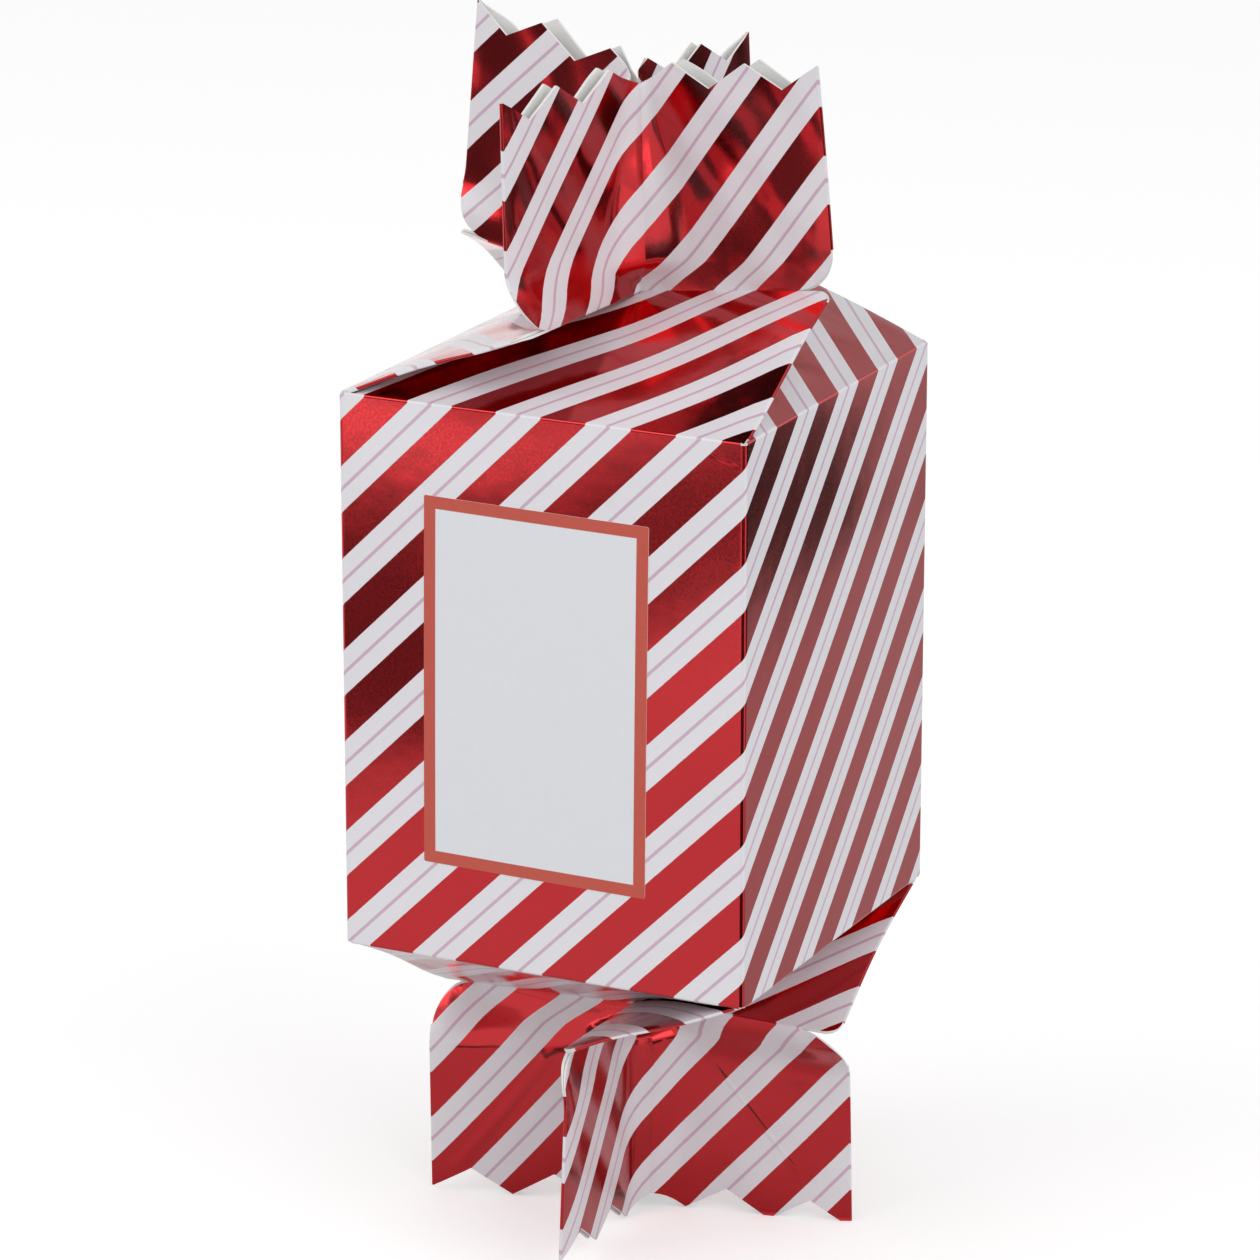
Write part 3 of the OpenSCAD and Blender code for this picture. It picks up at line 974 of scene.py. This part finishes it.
def bare_wood():
    """Pale beech with its grain along the spindle."""
    m, t, bsdf = material("bare_wood")
    vec = object_coords(t)
    grain = noise(t, stretched(t, vec, (1.0, 1.0, 0.06)), 2200.0, 4.0, 0.6, 1.0)
    fleck = noise(t, stretched(t, vec, (1.0, 1.0, 0.2)), 5200.0, 2.0, 0.5, 4.0)
    tone = mix(t, grain, (0.47, 0.31, 0.16, 1), (0.70, 0.52, 0.32, 1))
    dark = (0.36, 0.22, 0.11, 1)
    put(t, bsdf.inputs["Base Color"], mix(t, ramp(t, fleck, 0.62, 0.7), tone, dark))
    put(t, bsdf.inputs["Roughness"], ramp(t, grain, 0.3, 0.7, 0.48, 0.66))
    bump(t, bsdf, grain, 0.5, 0.00006)
    return m


def thin_paper(name, low, high, rough, crease):
    """Thin paper with a network of fine creases."""
    m, t, bsdf = material(name)
    vec = sheet_coords(t)[0]
    fibre = noise(t, vec, 2.4, 4.0, 0.65, 1.0)
    cloud = noise(t, vec, 0.2, 2.0, 0.5, 6.0)
    tone = mix(t, cloud, (*low, 1), (*high, 1))
    pale = tuple(min(1.0, c * 1.12 + 0.02) for c in high)
    put(t, bsdf.inputs["Base Color"], mix(t, ramp(t, fibre, 0.45, 0.8), tone, (*pale, 1)))
    put(t, bsdf.inputs["Roughness"], ramp(t, fibre, 0.2, 0.8, *rough))
    bsdf.inputs["Sheen Weight"].default_value = 0.15
    cells = t.nodes.new("ShaderNodeTexVoronoi")
    cells.feature = "DISTANCE_TO_EDGE"
    cells.inputs["Scale"].default_value = 0.34
    t.links.new(vec, cells.inputs["Vector"])
    folds = ramp(t, cells.outputs[0], 0.0, 0.12)
    bump(t, bsdf, math_node(t, "MULTIPLY_ADD", folds, crease, fibre), 0.5, 0.0001)
    return m


def paper(name, middle, thick, uv, mat, node):
    """A thin closed sheet round a grid of points in mm, standing for a CAD node of the sleeve."""
    n, m = middle.shape[:2]
    out = np.cross(np.gradient(middle, axis=0), np.gradient(middle, axis=1))
    out *= thick / 2 / np.linalg.norm(out, axis=2, keepdims=True)
    points = np.vstack([(middle + out).reshape(-1, 3), (middle - out).reshape(-1, 3)])
    count = n * m
    faces = []
    for i in range(n - 1):
        for q in range(m - 1):
            a, b = i * m + q, (i + 1) * m + q
            faces.append(((a, b, b + 1, a + 1), 0))
            faces.append(((a + 1 + count, b + 1 + count, b + count, a + count), 0))
    rim = list(range(m)) + [i * m + m - 1 for i in range(1, n)]
    rim += [(n - 1) * m + q for q in reversed(range(m - 1))]
    rim += [i * m for i in reversed(range(1, n - 1))]
    for a, b in zip(rim, rim[1:] + rim[:1]):
        faces.append(((a, a + count, b + count, b), 0))
    s = Shape()
    s.shell(points, np.vstack([uv, uv]), faces)
    obj = s.piece(name, (mat,))
    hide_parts(node)
    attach(obj, "sleeve")


def crumple(y, z, size, seed):
    """Smooth noise over a sheet, with dents of about the given size."""
    return np.array([perlin(Vector((a / size, b / size, c))) for a, b, c in zip(y, z, seed)])


def paper_crown():
    """A tissue crown folded to and fro in six layers that spring apart a little at the top."""
    layers, wide, high, point, pitch, rows, foot = 6, 48.0, 44.0, 11.0, 0.34, 21, 48.0
    end = wide / 2 - 0.36
    layer, across, bulge = [], [], []
    for i in range(layers):
        way = 1 if i % 2 == 0 else -1
        for y in np.linspace(-end, end, 25):
            layer.append(i)
            across.append(way * y)
            bulge.append(0.0)
        if i < layers - 1:
            for a in np.radians(np.linspace(-67.5, 67.5, 4)):
                layer.append(i + (1 + math.sin(a)) / 2)
                across.append(way * end)
                bulge.append(way * math.cos(a))
    layer, across, bulge = (np.repeat(np.array(c), rows) for c in (layer, across, bulge))
    share = np.tile(np.linspace(0, 1, rows), len(layer) // rows)
    peak = high - point * np.abs(((across + wide / 2) / (wide / 4)) % 2 - 1)
    up = share * peak
    spread = 0.42 * smooth((up - 4) / 40) ** 1.3
    gap = pitch + spread
    x = layer * gap + 0.16 * crumple(across, up, 7.0, 0 * up)
    x = x + 0.06 * crumple(across, up, 2.4, 0 * up + 5)
    x += (0.05 + 0.3 * spread) * crumple(across, up, 5.0, layer * 3.7 + 9)
    y = across + bulge * gap / 2
    z = foot + up
    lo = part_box("paper_crown")[0]
    points = np.column_stack([lo[0] * 1000 + 0.38 + x, y, z]).reshape(-1, rows, 3)
    lengths = np.linalg.norm(np.diff(points[:, 0], axis=0), axis=1)
    uv = np.column_stack([np.repeat(np.cumsum(np.r_[0, lengths]), rows), up])
    mat = thin_paper("tissue", (0.74, 0.40, 0.02), (0.86, 0.52, 0.05), (0.5, 0.7), 0.9)
    paper("paper_crown_tissue", points, 0.06, uv, mat, "paper_crown")


def motto_slip():
    """A slip of paper that has stayed curled, its free end a little inside the other."""
    lo, hi = (np.array(c) * 1000 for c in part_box("motto_slip"))
    cx, cy = (lo[0] + hi[0]) / 2, (lo[1] + hi[1]) / 2
    cols, rows, outer, length = 45, 13, 5.92, 31
    way = np.repeat(np.linspace(0, 1, cols), rows)
    up = np.tile(np.linspace(0.0, hi[2] - lo[2], rows), cols)
    a = np.radians(75 + 300 * way)
    r = outer - 0.5 * way**3 - 0.05 * np.sin(up / 5)
    r = r + 0.04 * crumple(way * 30, up, 6.0, 0 * up + 2)
    points = np.column_stack([cx + r * np.cos(a), cy + r * np.sin(a), lo[2] + up])
    uv = np.column_stack([way * length, up])
    mat = thin_paper("slip_paper", (0.80, 0.78, 0.70), (0.87, 0.855, 0.79), (0.6, 0.78), 0.15)
    points = points.reshape(-1, rows, 3)
    paper("motto_slip_paper", points, 0.12, uv, mat, "motto_slip")


paper_crown()
motto_slip()
dress("spinning_top_disc", painted_wood())
dress("spinning_top_spindle", bare_wood())


# ----------------------------------------------------------- floor and light
def light_path(t):
    n = t.nodes.new("ShaderNodeLightPath")
    return n.outputs["Is Camera Ray"], n.outputs["Is Glossy Ray"], n.outputs["Is Transmission Ray"]


def any_of(t, *sockets):
    total = sockets[0]
    for s in sockets[1:]:
        total = math_node(t, "MAXIMUM", total, s)
    return total


def seen_white(t, extra):
    """Light that only the camera, gloss and glass see, so that the ground looks white."""
    n = t.nodes.new("ShaderNodeEmission")
    n.inputs[0].default_value = (1, 1, 1, 1)
    put(t, n.inputs[1], math_node(t, "MULTIPLY", any_of(t, *light_path(t)), extra))
    return n.outputs[0]


def floor():
    """A plain pale disc."""
    bm = bmesh.new()
    bmesh.ops.create_circle(bm, cap_ends=True, radius=4.0, segments=96)
    mesh = bpy.data.meshes.new("floor")
    bm.to_mesh(mesh)
    bm.free()
    obj = bpy.data.objects.new("floor", mesh)
    obj.location.z = -0.0002
    bpy.context.scene.collection.objects.link(obj)
    m, t, bsdf = material("floor")
    bsdf.inputs["Base Color"].default_value = (0.80, 0.80, 0.80, 1)
    bsdf.inputs["Roughness"].default_value = 1.0
    bsdf.inputs["Specular IOR Level"].default_value = 0.0
    both = t.nodes.new("ShaderNodeAddShader")
    t.links.new(bsdf.outputs[0], both.inputs[0])
    t.links.new(seen_white(t, 0.38), both.inputs[1])
    out = next(n for n in t.nodes if n.type == "OUTPUT_MATERIAL")
    t.links.new(both.outputs[0], out.inputs[0])
    mesh.materials.append(m)


def flag(name, corners, grey):
    """A studio card that only reflections show, given by its corners in metres."""
    mesh = bpy.data.meshes.new(name)
    mesh.from_pydata([Vector(c) for c in corners], [], [tuple(range(len(corners)))])
    obj = bpy.data.objects.new(name, mesh)
    bpy.context.scene.collection.objects.link(obj)
    m, t, bsdf = material(name)
    bsdf.inputs["Base Color"].default_value = (grey, grey, grey, 1)
    bsdf.inputs["Roughness"].default_value = 0.9
    mesh.materials.append(m)
    obj.visible_camera = obj.visible_diffuse = obj.visible_shadow = False
    obj.visible_transmission = obj.visible_volume_scatter = False
    return obj


def ground_card(name, corners, z, grey, glow=0.0):
    """A studio card lying z mm above the ground, its corners in mm too."""
    obj = flag(name, [(x * 0.001, y * 0.001, z * 0.001) for x, y in corners], grey)
    if glow:
        bsdf = obj.data.materials[0].node_tree.nodes["Principled BSDF"]
        bsdf.inputs["Emission Color"].default_value = (1, 0.95, 0.9, 1)
        bsdf.inputs["Emission Strength"].default_value = glow


floor()
# what the foil mirrors below it: grey ground close by, which paints the shade round the part,
# dark cards farther out, one that glows
ground_card("card_near", arc(0, 0, 130, 0, 351, 39), 0.4, 0.82)
ground_card("card_ground", arc(0, 0, 300, 0, 351, 39), 0.2, 1.0)
ground_card("card_front", [(-235, -225), (-122, -236), (-122, -480),
                           (-205, -480), (-252, -390)], 0.8, 0.13)
ground_card("card_front_glow", [(-305, -425), (-225, -425), (-215, -500),
                                (-305, -500)], 0.7, 0.8, 1.5)
ground_card("card_left", [(-450, -380), (-1000, -420), (-1000, -1100),
                          (-700, -1100), (-450, -560)], 0.6, 0.17)
ground_card("card_left_base", [(-430, -505), (-270, -505), (-270, -590), (-430, -590)], 0.65, 0.2)
ground_card("card_left_strip", [(-222, -262), (-262, -246), (-490, -425),
                                (-448, -492), (-236, -332)], 0.9, 0.04)
ground_card("card_right", [(70, 20), (420, 20), (420, 520), (70, 520)], 0.5, 0.62)
ground_card("card_right_dark", [(188, 130), (500, 130), (500, 470),
                                (236, 470), (206, 398), (188, 388)], 0.9, 0.015)
ground_card("card_right_far", [(330, 300), (800, 300), (800, 800), (330, 800)], 0.6, 0.11)
ground_card("card_right_strip", [(440, 300), (480, 300), (560, 800), (500, 800)], 1.1, 0.02)
ground_card("card_crease", [(10, -125), (105, -50), (585, -270), (60, -650),
                            (-60, -650), (-70, -470), (-20, -260)], 0.45, 0.03)
ground_card("card_far", [(-440, -660), (60, -660), (120, -1250), (-520, -1250)], 0.5, 0.05)
ground_card("card_right_axis", [(560, 20), (1200, 20), (1200, 560),
                                (810, 560), (560, 290)], 0.4, 0.06)
# dark cards standing on the floor, at the left and at the right
flag("card_stand_left", [(-0.42, -1.05, 0), (-1.05, -0.42, 0),
                         (-1.05, -0.42, 0.5), (-0.42, -1.05, 0.5)], 0.15)
flag("card_stand_right", [(1.12, 0.20, 0), (0.75, 0.95, 0),
                          (0.75, 0.95, 0.4), (1.12, 0.20, 0.4)], 0.12)
# cards overhead: one that the front roof mirrors and, behind, one for the right roof
flag("card_overhead", [(-0.75, -0.1, 0.62), (0.05, -0.1, 0.62),
                       (0.05, 0.75, 0.62), (-0.75, 0.75, 0.62)], 0.03)
flag("card_behind", [(-0.45, 1.0, 0.32), (0.30, 1.0, 0.32),
                     (0.30, 1.0, 1.0), (-0.45, 1.0, 1.0)], 0.62)

WORLD_LIGHT = 0.62  # what falls on the part; what the camera sees of it is white


def background(t, strength):
    n = t.nodes.new("ShaderNodeBackground")
    n.inputs[0].default_value = (1, 1, 1, 1)
    n.inputs[1].default_value = strength
    return n.outputs[0]


world = bpy.data.worlds.new("world")
bpy.context.scene.world = world
world.use_nodes = True
wt = world.node_tree
wt.nodes.clear()
w_out = wt.nodes.new("ShaderNodeOutputWorld")
w_mix = wt.nodes.new("ShaderNodeMixShader")
put(wt, w_mix.inputs[0], any_of(wt, *light_path(wt)))
put(wt, w_mix.inputs[1], background(wt, WORLD_LIGHT))
put(wt, w_mix.inputs[2], background(wt, 1.0))
put(wt, w_out.inputs[0], w_mix.outputs[0])


def lamp(name, where, size, watts):
    """A soft rectangular lamp that faces the middle of the part."""
    data = bpy.data.lights.new(name, "AREA")
    data.shape = "RECTANGLE"
    data.size, data.size_y = size
    data.energy = watts
    obj = bpy.data.objects.new(name, data)
    obj.location = where
    facing = Vector((0, 0, 0.09)) - Vector(where)
    obj.rotation_euler = facing.to_track_quat("-Z", "Y").to_euler()
    bpy.context.scene.collection.objects.link(obj)


lamp("key", (-0.9, -1.0, 1.0), (1.3, 1.3), 7.1)
lamp("fill", (1.1, -0.5, 0.8), (1.2, 1.2), 6.6)

bpy.context.scene.view_settings.view_transform = "Standard"
